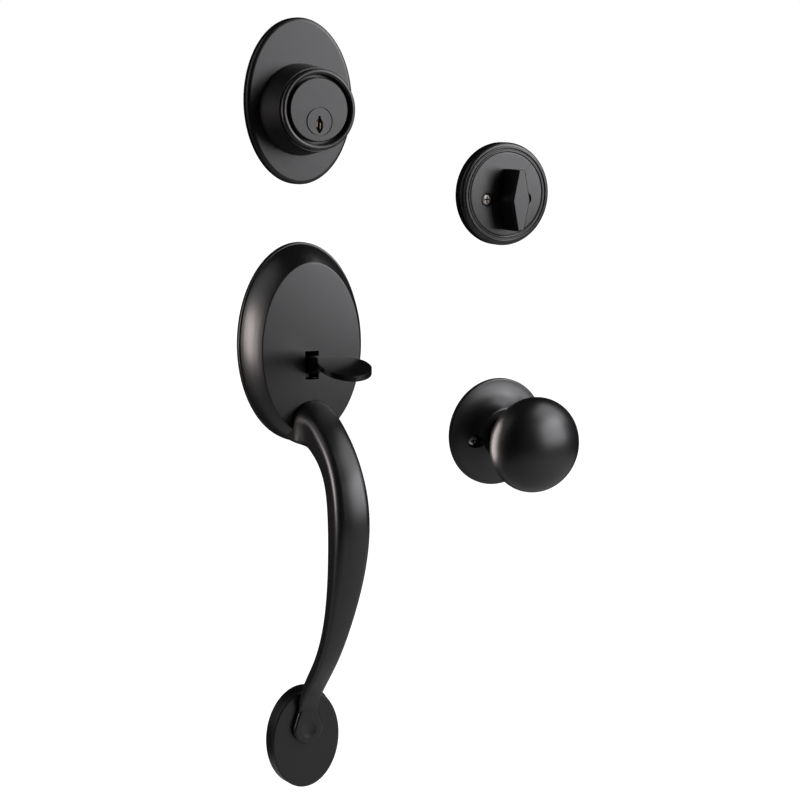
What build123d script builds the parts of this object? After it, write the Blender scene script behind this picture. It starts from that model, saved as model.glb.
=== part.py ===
from build123d import *
import os
from math import atan2, cos, pi, sin, sqrt

os.makedirs("parts", exist_ok=True)

# Entry door handleset, laid out on one door plane at Y = 0. Everything faces -Y, away from the door.
# "Height" below means the distance out of the door plane; pieces behind it reach into the door.
# The origin is the middle of the handle escutcheon's back.

# Fits and gaps between pieces
running = 0.06          # radial play of a shaft that turns in its bearing
fixed_fit = 0.02        # radial play of a pin or spigot that stays put
apart = 0.3             # gap between faces that move past each other
hole_play = 0.4         # radial play of a screw in its clearance hole

# Layout
column_gap = 133.4      # outside pieces to inside pieces, across
bore_distance = 139.7   # deadbolt bore down to latch bore
latch_drop = 14.5       # latch bore below the escutcheon's middle
turn_z = 79.4           # thumbturn axis
knob_z = -64.3          # inside knob axis
foot_z = -239.2         # middle of the foot plate

# Screws
screw_r = 2.0
screw_neck_r = 1.8      # plain shank between head and thread
screw_head_r = 3.4
screw_head_t = 2.2
thread_bore_r = 2.05
cross_width = 0.9
cross_depth = 1.3
flat_head_r = 3.9
flat_head_t = 1.9

# Deadbolt plate and collar
plate_half_x = 32.2
plate_half_z = 45.8
plate_rise = 4.4        # middle of the oval above the cylinder
plate_h = 5.6
plate_edge = 2.3
plate_rim = 2.6
plate_skin = 2.4
collar_base_r = 25.3
collar_front_r = 22.6
collar_step_h = 27.6
collar_wall = 2.4
rim_r = 22.0
rim_h = 30.6
rim_round = 1.4
groove_depth = 5.0
groove_gap = 1.5
web_t = 4.0

# Lock cylinder
barrel_r = 17.3
barrel_h = 30.2
barrel_back_h = 1.0
barrel_edge = 0.5
plug_r = 7.2
plug_offset = 6.3       # plug axis below the cylinder's middle
plug_proud = 0.2
plug_ring = 0.7
plug_ring_depth = 0.6
plug_neck_r = 5.8
plug_neck = 3.6
clip_t = 1.1
clip_width = 2.8
keyway_w = 1.5
keyway_top = 3.0
keyway_bottom = 6.2
keyway_end_h = 6.0
key_mouth_w = 4.2
key_mouth_depth = 1.1
ward = 0.9
tail_t = 2.6
tail_w = 8.0
tail_length = 50.0
tail_socket = 4.5
pin_pitch = 3.9
pin_end = 8.5           # least height of the rearmost pin
first_pin = 6.0         # first pin bore behind the cylinder's face
pin_r = 1.4
driver_length = 5.5
pin_cuts = (0.2, 1.0, 0.5, 1.3, 0.8)
cover_w = 3.8
cover_t = 1.4
pin_spring_wire = 0.22
pin_spring_turns = 5
post_r = 3.2
post_length = 15.0
post_thread = 13.0
post_root = 1.6
deadbolt_screw_x = 13.5

# Thumbturn group
rose_r = 30.8
rose_drop = 3.0         # thumbturn axis below the rose's middle
rose_face_h = 8.0
rose_side_h = 5.4
rose_pocket_h = 4.3
rose_pocket_gap = 2.4
bead = 0.75
counterbore_r = 4.1
counterbore_depth = 2.3
turn_half = 18.1
turn_mid = 6.1
turn_end = 2.3
turn_h = 25.3
turn_bevel = 0.8
turn_hub_r = 6.3
turn_hub_back = 4.2
back_plate_t = 1.5
ring_t = 1.0
ring_width = 2.4
ring_groove = 0.8
door_screw_length = 20.0
turn_thread_y = 2.0     # start of the thread, behind the door plane

# Knob group
knob_rose_r = 33.5
knob_rim_h = 1.5
neck_r = 16.6
neck_h = 12.0
knob_rose_wall = 1.9
knob_plate_r = 24.5
knob_screw_x = 19.0
knob_screw_drop = 3.5
knob_seat_h = 3.4
knob_boss_wall = 1.5
knob_thread_gap = 1.0
shank_r = 12.0
shank_wall = 3.2
shank_back = 7.5
knob_r = 28.8
knob_mid_h = 45.4
knob_half_depth = 20.0
knob_wall = 1.6
knob_collar_r = 13.6
knob_collar = 2.2
bearing_h = 8.0
bearing_wall = 1.4
housing_r = 23.0
housing_t = 1.2
housing_depth = 10.0
knob_spring_wire = 0.8
knob_spring_turns = 3
lug_w = 5.0
lug_h = 2.1
spindle_r = 3.4
spindle_length = 40.0

# Handle escutcheon
oval_half_x = 38.0
oval_half_z = 57.6
flange_h = 3.2
flange_step = 1.0
face_half_x = 30.2
face_half_z = 49.2
face_drop = 1.8         # middle of the face below the middle of the back
face_h = 19.0
face_edge = 0.9
side_bulge = 1.1
oval_wall = 2.6
slot_half_x = 4.2
slot_top = -2.6
slot_bottom = -19.0
carrier_t = 2.4
carrier_screw_x = 14.0
carrier_screw_inset = 21.6
boss_r = 4.6
post_flange_r = 5.4
post_flange_t = 1.5
oval_post_r = 4.2
oval_post_length = 18.0
oval_post_thread = 16.0

# Thumbpiece and the parts that it works
pivot_h = 12.0
pivot_z = -12.0
pivot_r = 1.6
ear_t = 3.0
ear_half_z = 4.0
thumb_barrel_r = 3.6
thumb_barrel_half = 3.9
neck_half_x = 3.2
neck_run = 12.0         # neck in front of the escutcheon, to where the paddle widens
paddle_half_x = 14.0
paddle_half_y = 16.0
paddle_mid_h = 61.5
paddle_t = 3.0
paddle_rib = 6.0        # reach of the rib under the paddle
paddle_top_z = -3.4
paddle_sag = 3.2        # rise of the paddle's arched top above its two ends
hub_r = 4.6
hub_flange_r = 7.2
hub_flange_t = 1.5
hub_back = 6.4
lever_t = 2.5
lever_back = 2.3
lever_ring_r = 6.4
lever_arm = 10.0
lever_arm_w = 2.6
lobe_r = 2.0
pad_half_x = 2.2
pad_t = 3.0
tail_arm_t = 1.8
thumb_spring_wire = 0.35
thumb_spring_r = 1.5
thumb_spring_turns = 6
ledge_z = -4.2
ledge_t = 1.6
ledge_reach = 5.0

# Grip
arch_half_x = 12.0
arch_height = 23.4
arch_rise = 2.8         # foot of the root above the escutcheon's lowest point
arch_play = 0.25
root_corner = 1.9
grip_taper = 0.16       # narrowing of the back, crown and corners as shares of the grip's size
grip_crown = 0.09
grip_corner = 0.24
grip_back_corner = 0.2
grip_boss_r = 6.0
grip_screw_depth = 12.0
pad_r = 9.4
pad_h = 4.2
pad_edge = 1.6
pad_neck_r = 6.5
pad_neck_z = 9.0        # narrow end of the pad above its middle
pad_rise = 7.6          # middle of the pad above the middle of the foot plate
pad_dimple_r = 5.0
pad_dimple = 0.7

# Foot plate
foot_half_x = 22.7
foot_half_z = 31.6
foot_h = 8.4
foot_taper = 1.1
foot_edge = 1.2
foot_wall = 2.4
spigot_r = 5.0
foot_thread = 9.0

# Places that follow from the layout
plug_z = bore_distance - latch_drop
cylinder_z = plug_z + plug_offset
plate_z = cylinder_z + plate_rise
latch_z = -latch_drop
rose_z = turn_z + rose_drop
posts_z = latch_z - knob_screw_drop
carrier_screw_z = oval_half_z - carrier_screw_inset
pad_z = foot_z + pad_rise
knob_screw_z = knob_z - knob_screw_drop


def wall(x, z, height=0.0):
    """Plane parallel to the door: local x to the right, local y up, normal out of the door."""
    return Plane(origin=(x, -height, z), x_dir=(1, 0, 0), z_dir=(0, -1, 0))


def lathe(x, z):
    """Plane of a turned outline: local x is the radius, local y the height."""
    return Plane(origin=(x, 0, z), x_dir=(1, 0, 0), z_dir=(0, 0, -1))


def spin(x, z):
    """Axis of a turned piece, out of the door."""
    return Axis((x, 0, z), (0, -1, 0))


def turned(rows, x, z):
    """Turned solid with straight sides; each row is a radius and a height."""
    with BuildPart() as body:
        with BuildSketch(lathe(x, z)):
            with BuildLine():
                Polyline(*rows, close=True)
            make_face()
        revolve(axis=spin(x, z))
    return body.part


def ring(inner, outer, low, high, x, z):
    """Flat ring or, with no inner radius, a disc, between two heights."""
    return turned([(inner, low), (outer, low), (outer, high), (inner, high)], x, z)


def ovals(rows, x, z, straight=True):
    """Solid through ovals parallel to the door; each row: half width, half height, height, drop."""
    with BuildPart() as body:
        for half_x, half_z, height, drop in rows:
            with BuildSketch(wall(x, z - drop, height)):
                Ellipse(half_x, half_z)
        loft(ruled=straight)
    return body.part


def block(x, y, z):
    """Box from three (low, high) pairs."""
    with BuildPart() as body:
        with BuildSketch(Plane.XY.offset(z[0])):
            with Locations(((x[0] + x[1]) / 2, (y[0] + y[1]) / 2)):
                Rectangle(x[1] - x[0], y[1] - y[0])
        extrude(amount=z[1] - z[0])
    return body.part


def coil(radius, wire, length, turns, plane):
    """Open coil of round wire that stands on a plane."""
    pitch = (length - 2 * wire) / turns
    path = plane * Pos(0, 0, wire) * Helix(pitch, pitch * turns, radius)
    with BuildPart() as body:
        with BuildSketch(Plane(origin=path @ 0, z_dir=path % 0)):
            Circle(wire)
        sweep(path=path, is_frenet=True)
    return body.part


def door_screw(x, z, seat_h, thread_y, tip_y):
    """Oval-head screw with a cross recess: a plain shank from its seat, then a thread to its tip."""
    top_h = seat_h + screw_head_t
    with BuildPart() as body:
        with BuildSketch(lathe(x, z)):
            with BuildLine():
                Polyline((0, -tip_y), (screw_r, -tip_y), (screw_r, -thread_y), (screw_neck_r, -thread_y))
                Polyline((screw_neck_r, -thread_y), (screw_neck_r, seat_h), (screw_head_r, seat_h))
                Line((screw_head_r, seat_h), (screw_head_r, seat_h + screw_head_t / 3))
                ThreePointArc(
                    (screw_head_r, seat_h + screw_head_t / 3),
                    (screw_head_r * 0.76, seat_h + screw_head_t * 0.82),
                    (cross_width, top_h),
                )
                Polyline((cross_width, top_h), (0, top_h), (0, -tip_y))
            make_face()
        revolve(axis=spin(x, z))
        with BuildSketch(wall(x, z, top_h - cross_depth)):
            Rectangle(cross_width, screw_head_r * 1.15)
            Rectangle(screw_head_r * 1.15, cross_width)
        extrude(amount=cross_depth + screw_head_t, mode=Mode.SUBTRACT)
    return body.part


def flat_screw(x, z, length):
    """Countersunk screw, flush with the door plane, that reaches outwards."""
    rows = [(0, 0), (flat_head_r, 0), (screw_r, flat_head_t), (screw_r, length), (0, length)]
    with BuildPart() as body:
        add(turned(rows, x, z))
        with BuildSketch(wall(x, z)):
            Rectangle(cross_width, flat_head_r)
            Rectangle(flat_head_r, cross_width)
        extrude(amount=cross_depth, mode=Mode.SUBTRACT)
    return body.part


def half_round(x, z, low_h, high_h, play=0.0):
    """Half-round bar, flat side down, or with play the socket that it fits."""
    with BuildPart() as body:
        with BuildSketch(wall(x, z, low_h)):
            Circle(spindle_r + play)
            with Locations((0, -(spindle_r + play) / 2 - spindle_r * 0.2 - play)):
                Rectangle(2 * spindle_r + 4 * play, spindle_r + play, mode=Mode.SUBTRACT)
        extrude(amount=high_h - low_h)
    return body.part


# Deadbolt plate: an oval casting, hollow behind, with a hole for the lock cylinder
with BuildPart() as deadbolt_plate:
    with BuildSketch(wall(0, plate_z)):
        Ellipse(plate_half_x, plate_half_z)
    extrude(amount=plate_h)
    fillet(deadbolt_plate.faces().sort_by(Axis.Y)[0].edges(), plate_edge)
    with BuildSketch(wall(0, plate_z)):
        Ellipse(plate_half_x - plate_rim, plate_half_z - plate_rim)
    extrude(amount=plate_h - plate_skin, mode=Mode.SUBTRACT)
    with BuildSketch(wall(0, cylinder_z)):
        Circle(barrel_r + apart)
    extrude(amount=plate_h, mode=Mode.SUBTRACT)

# Collar: a tapered guard with a rolled front rim, held on the cylinder by an inner web
groove_r = barrel_r + groove_gap
web_top = rim_h - groove_depth
web_bottom = web_top - web_t
taper = (collar_base_r - collar_front_r) / (collar_step_h - plate_h)
web_outer = collar_base_r - taper * (web_bottom - plate_h) - collar_wall
with BuildPart() as deadbolt_collar:
    with BuildSketch(lathe(0, cylinder_z)):
        with BuildLine():
            Polyline(
                (collar_base_r - collar_wall, plate_h),
                (collar_base_r, plate_h),
                (collar_front_r, collar_step_h),
                (rim_r, collar_step_h),
                (rim_r, rim_h - rim_round),
            )
            ThreePointArc(
                (rim_r, rim_h - rim_round), ((rim_r + groove_r) / 2, rim_h), (groove_r, rim_h - rim_round)
            )
            Polyline(
                (groove_r, rim_h - rim_round),
                (groove_r, web_top),
                (barrel_r + fixed_fit, web_top),
                (barrel_r + fixed_fit, web_bottom),
                (web_outer, web_bottom),
                (collar_base_r - collar_wall, plate_h),
            )
        make_face()
    revolve(axis=spin(0, cylinder_z))

# Lock cylinder: one casting with the plug's bore, the pin bores and two threaded posts
pin_count = int((barrel_h - first_pin - pin_end) / pin_pitch) + 1
pin_places = [(0, first_pin + k * pin_pitch - barrel_h) for k in range(pin_count)]
cover_top = cylinder_z + sqrt(barrel_r**2 - (cover_w / 2) ** 2) - 2 * running
cover_bottom = cover_top - cover_t
cover_low = barrel_h - first_pin - (pin_count - 1) * pin_pitch - 2 * pin_r
cover_high = barrel_h - first_pin + 2 * pin_r
with BuildPart() as cylinder_body:
    with BuildSketch(wall(0, cylinder_z, barrel_back_h)):
        Circle(barrel_r)
    extrude(amount=barrel_h - barrel_back_h)
    chamfer(cylinder_body.faces().sort_by(Axis.Y)[0].edges(), barrel_edge)
    with BuildSketch(wall(0, plug_z, barrel_back_h - post_length)):
        with GridLocations(2 * deadbolt_screw_x, 0, 2, 1):
            Circle(post_r)
    extrude(amount=post_length + post_root)
    with BuildSketch(wall(0, plug_z, barrel_back_h - post_length)):
        with GridLocations(2 * deadbolt_screw_x, 0, 2, 1):
            Circle(thread_bore_r)
    extrude(amount=post_thread, mode=Mode.SUBTRACT)
    add(ring(0, plug_r + running, barrel_back_h, barrel_h, 0, plug_z), mode=Mode.SUBTRACT)
    add(
        ring(0, plug_r + plug_ring, barrel_h - plug_ring_depth, barrel_h, 0, plug_z),
        mode=Mode.SUBTRACT,
    )
    with BuildSketch(Plane.XY.offset(plug_z)):
        with Locations(*pin_places):
            Circle(pin_r + running)
    extrude(amount=cylinder_z + barrel_r - plug_z, mode=Mode.SUBTRACT)
    add(
        block(
            (-cover_w / 2 - fixed_fit, cover_w / 2 + fixed_fit),
            (-cover_high - fixed_fit, -cover_low + fixed_fit),
            (cover_bottom, cylinder_z + barrel_r),
        ),
        mode=Mode.SUBTRACT,
    )

# Plug: turned, with a warded keyway, pin bores on top and a socket for the tailpiece
plug_face_h = barrel_h + plug_proud
shear_z = plug_z + sqrt(plug_r**2 - pin_r**2) - running
with BuildPart() as cylinder_plug:
    add(ring(0, plug_r, barrel_back_h, plug_face_h, 0, plug_z))
    add(ring(0, plug_neck_r, barrel_back_h - plug_neck, barrel_back_h, 0, plug_z))
    with BuildSketch(wall(0, plug_z, keyway_end_h)):
        with BuildLine():
            Polyline(
                (-keyway_w / 2, keyway_top),
                (keyway_w / 2, keyway_top),
                (keyway_w / 2, keyway_top - ward),
                (keyway_w / 2 + ward, 0),
                (keyway_w / 2, -ward),
                (keyway_w / 2, -keyway_bottom),
                (-keyway_w / 2, -keyway_bottom),
                (-keyway_w / 2, -keyway_bottom + ward),
                (-keyway_w / 2 - ward, -keyway_bottom + 2 * ward),
                (-keyway_w / 2 - ward, -keyway_bottom + 3 * ward),
                (-keyway_w / 2, -keyway_bottom + 4 * ward),
                close=True,
            )
        make_face()
    extrude(amount=plug_face_h - keyway_end_h, mode=Mode.SUBTRACT)
    with BuildSketch(wall(0, plug_z - keyway_bottom / 3, plug_face_h - key_mouth_depth)):
        Ellipse(keyway_w / 2 + ward / 2, keyway_bottom / 2)
    with BuildSketch(wall(0, plug_z - keyway_bottom / 3, plug_face_h)):
        Ellipse(key_mouth_w / 2, keyway_bottom * 0.6)
    loft(mode=Mode.SUBTRACT)
    with BuildSketch(Plane.XY.offset(plug_z)):
        with Locations(*pin_places):
            Circle(pin_r + running)
    extrude(amount=plug_r, mode=Mode.SUBTRACT)
    add(
        block(
            (-tail_t / 2 - fixed_fit, tail_t / 2 + fixed_fit),
            (-tail_socket, plug_neck - barrel_back_h),
            (plug_z - tail_w / 2 - fixed_fit, plug_z + tail_w / 2 + fixed_fit),
        ),
        mode=Mode.SUBTRACT,
    )

# Pins and their springs, held down by one cover strip
with BuildPart() as key_pins:
    for k, place in enumerate(pin_places):
        cut = pin_cuts[k % len(pin_cuts)]
        with BuildSketch(Plane.XY.offset(plug_z + cut + pin_r)):
            with Locations(place):
                Circle(pin_r)
        extrude(amount=shear_z - plug_z - cut - pin_r)
        with BuildSketch(Plane.XY.offset(plug_z + cut)):
            with Locations(place):
                Circle(pin_r / 3)
        with BuildSketch(Plane.XY.offset(plug_z + cut + pin_r)):
            with Locations(place):
                Circle(pin_r)
        loft()

driver_z = plug_z + plug_r + running
with BuildPart() as driver_pins:
    with BuildSketch(Plane.XY.offset(driver_z)):
        with Locations(*pin_places):
            Circle(pin_r)
    extrude(amount=driver_length)

pin_spring = coil(
    pin_r - pin_spring_wire,
    pin_spring_wire,
    cover_bottom - driver_z - driver_length,
    pin_spring_turns,
    Plane.XY.offset(driver_z + driver_length),
)
with BuildPart() as pin_springs:
    for place in pin_places:
        add(Pos(*place) * pin_spring)

with BuildPart() as pin_cover:
    add(block((-cover_w / 2, cover_w / 2), (-cover_high, -cover_low), (cover_bottom, cover_top)))

with BuildPart() as plug_clip:
    add(
        ring(
            plug_neck_r + fixed_fit,
            plug_neck_r + clip_width,
            barrel_back_h - clip_t - running,
            barrel_back_h - running,
            0,
            plug_z,
        )
    )

with BuildPart() as tailpiece:
    add(
        block(
            (-tail_t / 2, tail_t / 2),
            (-tail_socket, tail_length),
            (plug_z - tail_w / 2, plug_z + tail_w / 2),
        )
    )

# Thumbturn rose: a turned shell with a stepped edge, two beads and a flat face
bead_rows = [rose_r - 3.0, rose_r - 5.1]
with BuildPart() as turn_rose:
    with BuildSketch(lathe(column_gap, rose_z)):
        with BuildLine():
            Polyline((0, rose_pocket_h), (rose_r - rose_pocket_gap, rose_pocket_h))
            Polyline((rose_r - rose_pocket_gap, rose_pocket_h), (rose_r - rose_pocket_gap, 0), (rose_r, 0))
            Line((rose_r, 0), (rose_r, rose_side_h))
            ThreePointArc(
                (rose_r, rose_side_h),
                (rose_r - bead * 0.5, rose_side_h + bead * 1.3),
                (rose_r - bead * 1.8, rose_face_h - bead * 0.8),
            )
            Line(
                (rose_r - bead * 1.8, rose_face_h - bead * 0.8),
                (bead_rows[0] + bead, rose_face_h - bead * 0.6),
            )
            ThreePointArc(
                (bead_rows[0] + bead, rose_face_h - bead * 0.6),
                (bead_rows[0], rose_face_h + bead * 0.4),
                (bead_rows[0] - bead, rose_face_h - bead * 0.6),
            )
            Line(
                (bead_rows[0] - bead, rose_face_h - bead * 0.6),
                (bead_rows[1] + bead, rose_face_h - bead * 0.6),
            )
            ThreePointArc(
                (bead_rows[1] + bead, rose_face_h - bead * 0.6),
                (bead_rows[1], rose_face_h + bead * 0.1),
                (bead_rows[1] - bead, rose_face_h - bead * 0.5),
            )
            Line((bead_rows[1] - bead, rose_face_h - bead * 0.5), (bead_rows[1] - 2 * bead, rose_face_h))
            Line((bead_rows[1] - 2 * bead, rose_face_h), (0, rose_face_h))
            Line((0, rose_face_h), (0, rose_pocket_h))
        make_face()
    revolve(axis=spin(column_gap, rose_z))
    with BuildSketch(wall(column_gap, turn_z, rose_face_h - counterbore_depth)):
        with GridLocations(2 * deadbolt_screw_x, 0, 2, 1):
            Circle(counterbore_r)
    extrude(amount=counterbore_depth, mode=Mode.SUBTRACT)
    with BuildSketch(wall(column_gap, turn_z)):
        with GridLocations(2 * deadbolt_screw_x, 0, 2, 1):
            Circle(screw_r + hole_play)
        Circle(turn_hub_r + running)
    extrude(amount=rose_face_h, mode=Mode.SUBTRACT)

# Thumbturn: a lozenge blade and its round hub in one casting
blade_base_h = rose_face_h + apart
turn_groove_h = -running - ring_t
with BuildPart() as thumbturn:
    with BuildSketch(wall(column_gap, turn_z, blade_base_h)):
        with BuildLine():
            Polyline(
                (-turn_end, turn_half),
                (turn_end, turn_half),
                (turn_mid, 0),
                (turn_end, -turn_half),
                (-turn_end, -turn_half),
                (-turn_mid, 0),
                close=True,
            )
        make_face()
    extrude(amount=turn_h - blade_base_h)
    chamfer(thumbturn.faces().sort_by(Axis.Y)[0].edges(), turn_bevel)
    add(ring(0, turn_hub_r, -turn_hub_back, blade_base_h, column_gap, turn_z))
    add(
        ring(
            turn_hub_r - ring_groove,
            turn_hub_r,
            turn_groove_h - fixed_fit,
            -running + fixed_fit,
            column_gap,
            turn_z,
        ),
        mode=Mode.SUBTRACT,
    )
    add(
        block(
            (column_gap - tail_t / 2 - apart, column_gap + tail_t / 2 + apart),
            (-rose_face_h, turn_hub_back),
            (turn_z - tail_w / 2 - apart, turn_z + tail_w / 2 + apart),
        ),
        mode=Mode.SUBTRACT,
    )

with BuildPart() as turn_backplate:
    with BuildSketch(wall(column_gap, rose_z)):
        Circle(rose_r - rose_pocket_gap - apart)
    extrude(amount=back_plate_t)
    with BuildSketch(wall(column_gap, turn_z)):
        with GridLocations(2 * deadbolt_screw_x, 0, 2, 1):
            Circle(screw_r + hole_play)
        Circle(turn_hub_r + apart)
    extrude(amount=back_plate_t, mode=Mode.SUBTRACT)

with BuildPart() as turn_retainer:
    add(
        ring(
            turn_hub_r - ring_groove + fixed_fit,
            turn_hub_r + ring_width,
            turn_groove_h,
            -running,
            column_gap,
            turn_z,
        )
    )

with BuildPart() as turn_screws:
    for side in (-1, 1):
        add(
            door_screw(
                column_gap + side * deadbolt_screw_x,
                turn_z,
                rose_face_h - counterbore_depth,
                turn_thread_y,
                door_screw_length,
            )
        )

# Knob rose: a turned shell that flares up to a neck, with two bosses for its screws
inner_neck_r = shank_r + apart
hollow_r = knob_plate_r + apart
with BuildPart() as rose_hollow:
    with BuildSketch(lathe(column_gap, knob_z)):
        with BuildLine():
            Polyline((0, neck_h - knob_rose_wall), (neck_r - knob_rose_wall, neck_h - knob_rose_wall))
            ThreePointArc(
                (neck_r - knob_rose_wall, neck_h - knob_rose_wall),
                ((hollow_r + neck_r) / 2 - knob_rose_wall, (neck_h + back_plate_t) * 0.4),
                (hollow_r, back_plate_t + apart),
            )
            Polyline((hollow_r, back_plate_t + apart), (hollow_r, 0), (0, 0), (0, neck_h - knob_rose_wall))
        make_face()
    revolve(axis=spin(column_gap, knob_z))
    with BuildSketch(wall(column_gap, knob_screw_z, back_plate_t)):
        with GridLocations(2 * knob_screw_x, 0, 2, 1):
            Circle(counterbore_r + knob_boss_wall)
    extrude(amount=neck_h, mode=Mode.SUBTRACT)

with BuildPart() as knob_rose:
    with BuildSketch(lathe(column_gap, knob_z)):
        with BuildLine():
            Polyline((0, 0), (knob_rose_r, 0), (knob_rose_r, knob_rim_h))
            ThreePointArc(
                (knob_rose_r, knob_rim_h),
                (knob_rose_r - 0.3, knob_rim_h + 0.5),
                (knob_rose_r - 0.9, knob_rim_h + 0.8),
            )
            ThreePointArc(
                (knob_rose_r - 0.9, knob_rim_h + 0.8),
                ((knob_rose_r + neck_r) / 2 - 1.0, knob_rim_h * 3.1),
                (neck_r + 0.3, neck_h - 0.9),
            )
            ThreePointArc((neck_r + 0.3, neck_h - 0.9), (neck_r - 0.4, neck_h - 0.2), (neck_r - 1.2, neck_h))
            Polyline((neck_r - 1.2, neck_h), (0, neck_h), (0, 0))
        make_face()
    revolve(axis=spin(column_gap, knob_z))
    add(rose_hollow.part, mode=Mode.SUBTRACT)
    add(ring(0, inner_neck_r, 0, neck_h, column_gap, knob_z), mode=Mode.SUBTRACT)
    with BuildSketch(wall(column_gap, knob_screw_z, knob_seat_h)):
        with GridLocations(2 * knob_screw_x, 0, 2, 1):
            Circle(counterbore_r)
    extrude(amount=neck_h, mode=Mode.SUBTRACT)
    with BuildSketch(wall(column_gap, knob_screw_z)):
        with GridLocations(2 * knob_screw_x, 0, 2, 1):
            Circle(screw_r + hole_play)
    extrude(amount=neck_h, mode=Mode.SUBTRACT)

# Knob: a spun shell closed on a collar round its shank
inner_r = knob_r - knob_wall
inner_depth = knob_half_depth - knob_wall
sleeve_r = shank_r + fixed_fit
sleeve_h = knob_mid_h - inner_depth * sqrt(1 - (sleeve_r / inner_r) ** 2)
collar_h = knob_mid_h - knob_half_depth * sqrt(1 - (knob_collar_r / knob_r) ** 2)


def ball(radius, depth, start_r):
    """Half outline of a flattened ball, from a radius on its back to its front pole."""
    start = -atan2(sqrt(radius**2 - start_r**2), start_r)
    places = [start + (pi / 2 - start) * k / 8 for k in range(9)]
    Spline(
        *[(radius * cos(a), knob_mid_h + depth * sin(a)) for a in places],
        tangents=((-radius * sin(start), depth * cos(start)), (-1, 0)),
    )


with BuildPart() as knob:
    with BuildSketch(lathe(column_gap, knob_z)):
        with BuildLine():
            Polyline(
                (sleeve_r, sleeve_h),
                (sleeve_r, collar_h - knob_collar),
                (knob_collar_r, collar_h - knob_collar),
                (knob_collar_r, collar_h),
            )
            ball(knob_r, knob_half_depth, knob_collar_r)
            Line((0, knob_mid_h + knob_half_depth), (0, knob_mid_h + inner_depth))
            ball(inner_r, inner_depth, sleeve_r)
        make_face()
    revolve(axis=spin(column_gap, knob_z))

# Shank: a sleeve that carries the knob, with a socket for the spindle and a lug for the spring
ring_groove_h = -apart - ring_t
with BuildPart() as knob_shank:
    add(ring(0, shank_r, -shank_back, sleeve_h, column_gap, knob_z))
    add(
        ring(0, shank_r - shank_wall, knob_rim_h + bearing_h, sleeve_h, column_gap, knob_z),
        mode=Mode.SUBTRACT,
    )
    add(
        ring(
            shank_r - ring_groove, shank_r, ring_groove_h - fixed_fit, -apart + fixed_fit, column_gap, knob_z
        ),
        mode=Mode.SUBTRACT,
    )
    add(
        half_round(column_gap, knob_z, -shank_back, knob_rim_h + bearing_h, fixed_fit),
        mode=Mode.SUBTRACT,
    )
    add(
        block(
            (column_gap - lug_w / 2, column_gap + lug_w / 2),
            (-ring_groove_h + apart, shank_back),
            (knob_z + shank_r - ring_groove, knob_z + shank_r + lug_h),
        )
    )

with BuildPart() as knob_spindle:
    add(half_round(column_gap, knob_z, -spindle_length, knob_rim_h + bearing_h))

with BuildPart() as knob_ring:
    add(
        ring(
            shank_r - ring_groove + fixed_fit,
            shank_r + ring_width,
            ring_groove_h,
            -apart,
            column_gap,
            knob_z,
        )
    )

with BuildPart() as knob_backplate:
    with BuildSketch(wall(column_gap, knob_z)):
        Circle(knob_plate_r)
    extrude(amount=back_plate_t)
    with BuildSketch(wall(column_gap, knob_z, back_plate_t)):
        Circle(shank_r + running + bearing_wall)
    extrude(amount=bearing_h - back_plate_t)
    with BuildSketch(wall(column_gap, knob_z)):
        Circle(shank_r + running)
    extrude(amount=bearing_h, mode=Mode.SUBTRACT)
    with BuildSketch(wall(column_gap, knob_screw_z)):
        with GridLocations(2 * knob_screw_x, 0, 2, 1):
            Circle(screw_r + hole_play)
    extrude(amount=back_plate_t, mode=Mode.SUBTRACT)

# Spring housing: a drawn can behind the back plate
with BuildPart() as spring_housing:
    add(
        turned(
            [
                (housing_r - housing_t, 0),
                (knob_plate_r, 0),
                (knob_plate_r, -housing_t),
                (housing_r, -housing_t),
                (housing_r, -housing_depth),
                (spindle_r + 2 * housing_t, -housing_depth),
                (spindle_r + 2 * housing_t, housing_t - housing_depth),
                (housing_r - housing_t, housing_t - housing_depth),
            ],
            column_gap,
            knob_z,
        )
    )
    with BuildSketch(wall(column_gap, knob_screw_z, -housing_depth)):
        with GridLocations(2 * knob_screw_x, 0, 2, 1):
            Circle(screw_r + hole_play)
    extrude(amount=housing_depth, mode=Mode.SUBTRACT)

spring_low_h = housing_t - housing_depth + apart
with BuildPart() as knob_spring:
    add(
        coil(
            shank_r + 3.4,
            knob_spring_wire,
            ring_groove_h - apart - spring_low_h,
            knob_spring_turns,
            wall(column_gap, knob_z, spring_low_h),
        )
    )

with BuildPart() as knob_screws:
    for side in (-1, 1):
        add(
            door_screw(
                column_gap + side * knob_screw_x,
                knob_screw_z,
                knob_seat_h,
                housing_depth + knob_thread_gap,
                door_screw_length,
            )
        )

# Handle escutcheon: an oval shell with a flange, a bulged side wall and a flat face
side_steps = 5
side_rows = []
for k in range(side_steps + 1):
    share = k / side_steps
    bulge = side_bulge * 4 * share * (1 - share)
    side_rows.append(
        (
            oval_half_x - flange_step + (face_half_x - oval_half_x + flange_step) * share + bulge,
            oval_half_z - flange_step + (face_half_z - oval_half_z + flange_step) * share + bulge,
            flange_h + (face_h - flange_h) * share,
            face_drop * share,
        )
    )
hollow_rows = [
    (oval_half_x - flange_step - oval_wall, oval_half_z - flange_step - oval_wall, 0, 0),
    (oval_half_x - flange_step - oval_wall, oval_half_z - flange_step - oval_wall, flange_h, 0),
    (face_half_x - oval_wall, face_half_z - oval_wall, face_h - oval_wall, face_drop),
]
tail_low = latch_z - lobe_r - apart - pad_t
arch_mid = arch_rise - oval_half_z + arch_height / 2
grip_screw_z = arch_mid
ear_h = pivot_h - 2.2 * pivot_r


def arch(grow=0.0):
    """Outline of the grip's root: round on top, nearly square below."""
    with BuildSketch() as outline:
        with Locations((0, arch_mid)):
            Rectangle(2 * (arch_half_x + grow), arch_height + 2 * grow)
        fillet(outline.vertices().group_by(Axis.Y)[-1], arch_half_x + grow - 1.0)
        fillet(outline.vertices().group_by(Axis.Y)[0], root_corner + grow)
    return outline.sketch


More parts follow.
